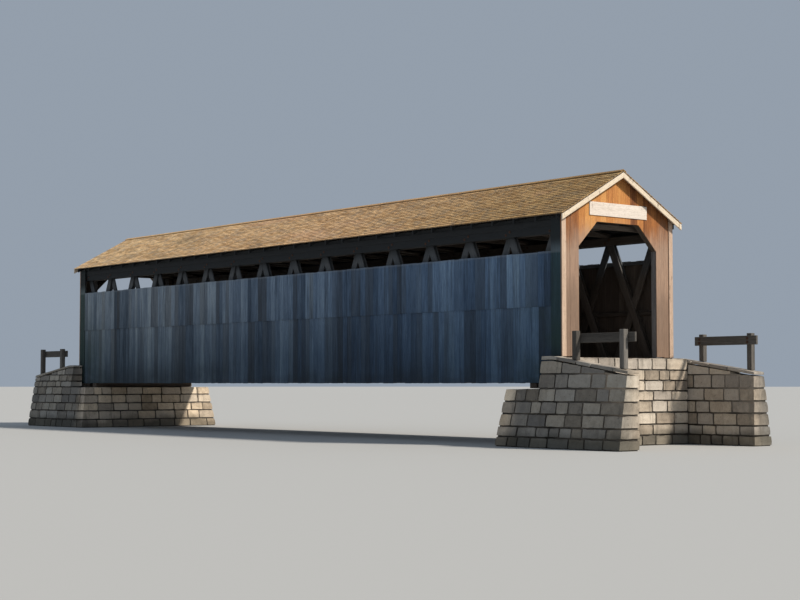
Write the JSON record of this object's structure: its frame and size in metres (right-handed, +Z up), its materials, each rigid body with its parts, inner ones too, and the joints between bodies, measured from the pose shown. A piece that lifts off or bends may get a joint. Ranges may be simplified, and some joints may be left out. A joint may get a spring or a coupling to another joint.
{
  "type": "covered timber truss bridge",
  "caption": "Single-lane covered timber bridge: crossed-brace trusses, boarded sides open under the eaves, shingled gable roof, stone abutments with wing walls.",
  "frame": {"origin": "middle of the base, at the foot of the abutments", "axes": "+X along the roadway, +Y across it, +Z up"},
  "size_m": [36.88, 6.95, 8.6286],
  "materials": {
    "side_boards": "weathered, unpainted",
    "portal_boards": "weathered, unpainted",
    "pale_trim": "worn pale paint",
    "sign_face": "painted, matt",
    "framing": "rough sawn, aged",
    "planks": "rough, worn by wheels",
    "shingles": "split shingles, weathered",
    "rails": "weathered grey",
    "masonry": "coursed rough stone"
  },
  "bodies": {
    "root": {"bed_timbers": "framing", "east_abutment_body": "masonry", "east_wing_walls": "masonry", "end_boards": "side_boards", "floor_beams": "framing", "floor_deck": "planks", "floor_laterals": "framing", "floor_stringers": "framing", "guard_posts": "rails", "guard_rails": "rails", "left_girts": "framing", "left_lower_siding": "side_boards", "left_rafters": "framing", "left_roof_plate": "framing", "left_roof_sheathing": "planks", "left_roof_shingles": "shingles", "left_truss_counter_braces": "framing", "left_truss_lower_chord": "framing", "left_truss_main_braces": "framing", "left_truss_upper_chord": "framing", "left_upper_siding": "side_boards", "overhead_laterals": "framing", "portal_braces": "framing", "portal_corner_trim": "pale_trim", "portal_headers": "framing", "portal_posts": "framing", "portal_sills": "framing", "portal_walls": "portal_boards", "rake_boards": "pale_trim", "ridge_boards": "shingles", "right_girts": "framing", "right_lower_siding": "side_boards", "right_rafters": "framing", "right_roof_plate": "framing", "right_roof_sheathing": "planks", "right_roof_shingles": "shingles", "right_truss_counter_braces": "framing", "right_truss_lower_chord": "framing", "right_truss_main_braces": "framing", "right_truss_upper_chord": "framing", "right_upper_siding": "side_boards", "sign_boards": "sign_face", "tie_beams": "framing", "west_abutment_body": "masonry", "west_wing_walls": "masonry"}
  },
  "joints": []
}
